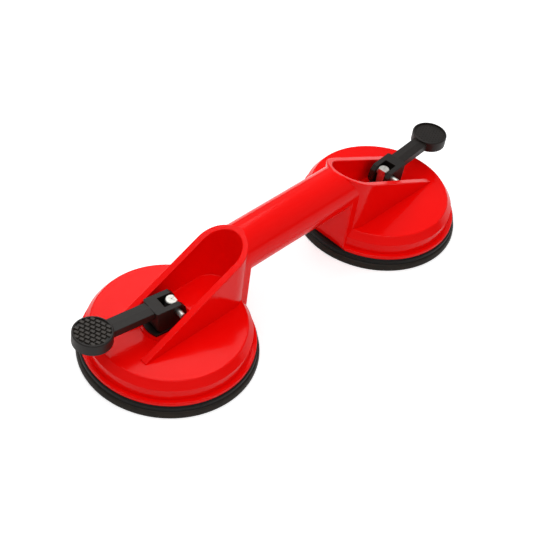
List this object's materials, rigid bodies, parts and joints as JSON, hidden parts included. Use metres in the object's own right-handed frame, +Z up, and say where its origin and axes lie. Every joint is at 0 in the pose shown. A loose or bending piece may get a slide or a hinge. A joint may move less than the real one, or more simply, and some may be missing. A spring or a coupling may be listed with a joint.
{
  "type": "suction lifter",
  "caption": "Bar-handled lifter for smooth floor tiles, with round rubber suction pads in red moulded cups that cam levers pull up to grip.",
  "frame": {"origin": "on the surface the pads rest on, midway between the cups", "axes": "+X along the handle from the front cup to the rear cup, +Z up, away from the tile; the front cup is at -X"},
  "size_m": [0.3408, 0.118, 0.0706],
  "materials": {
    "body_plastic": "glossy injection-moulded ABS, bright red",
    "pad_rubber": "satin black rubber",
    "disc_steel": "zinc-plated sheet",
    "stud_steel": "bright zinc plating",
    "washer_plastic": "matt black nylon",
    "pin_steel": "bright steel",
    "lever_plastic": "satin black moulded nylon"
  },
  "bodies": {
    "frame": {"body_moulding": "body_plastic"},
    "front_swivel": {"front_suction_pad": "pad_rubber", "front_cam_washer": "washer_plastic"},
    "front_lift": {"front_stud": "stud_steel", "front_insert_disc": "disc_steel", "front_pivot_pin": "pin_steel"},
    "front_lever": {"front_lever": "lever_plastic"},
    "rear_swivel": {"rear_suction_pad": "pad_rubber", "rear_cam_washer": "washer_plastic"},
    "rear_lift": {"rear_stud": "stud_steel", "rear_insert_disc": "disc_steel", "rear_pivot_pin": "pin_steel"},
    "rear_lever": {"rear_lever": "lever_plastic"}
  },
  "joints": [
    {"name": "front_swivel_turn", "type": "hinge", "parent": "frame", "child": "front_swivel", "pos_m": [-0.101, 0, 0], "axis": [0, 0, 1], "range_deg": [-13, 27]},
    {"name": "front_stud_lift", "type": "slide", "parent": "front_swivel", "child": "front_lift", "axis": [0, 0, 1], "range_m": [-0.00529, 0.00012], "deforming": ["front_suction_pad"]},
    {"name": "front_lever_turn", "type": "hinge", "parent": "front_lift", "child": "front_lever", "pos_m": [-0.101, 0, 0.03968], "axis": [0.1219, 0.9925, 0], "range_deg": [-2, 88]},
    {"name": "rear_swivel_turn", "type": "hinge", "parent": "frame", "child": "rear_swivel", "pos_m": [0.101, 0, 0], "axis": [0, 0, 1], "range_deg": [-24, 15]},
    {"name": "rear_stud_lift", "type": "slide", "parent": "rear_swivel", "child": "rear_lift", "axis": [0, 0, 1], "range_m": [-0.00541, 0], "deforming": ["rear_suction_pad"]},
    {"name": "rear_lever_turn", "type": "hinge", "parent": "rear_lift", "child": "rear_lever", "pos_m": [0.101, 0, 0.0398], "axis": [0.0802, -0.9968, 0], "range_deg": [0, 90]}
  ],
  "couplings": [
    {"joint": "front_stud_lift", "follows": "front_lever_turn", "m_per_rad": -0.0034377},
    {"joint": "rear_stud_lift", "follows": "rear_lever_turn", "m_per_rad": -0.0034377}
  ]
}
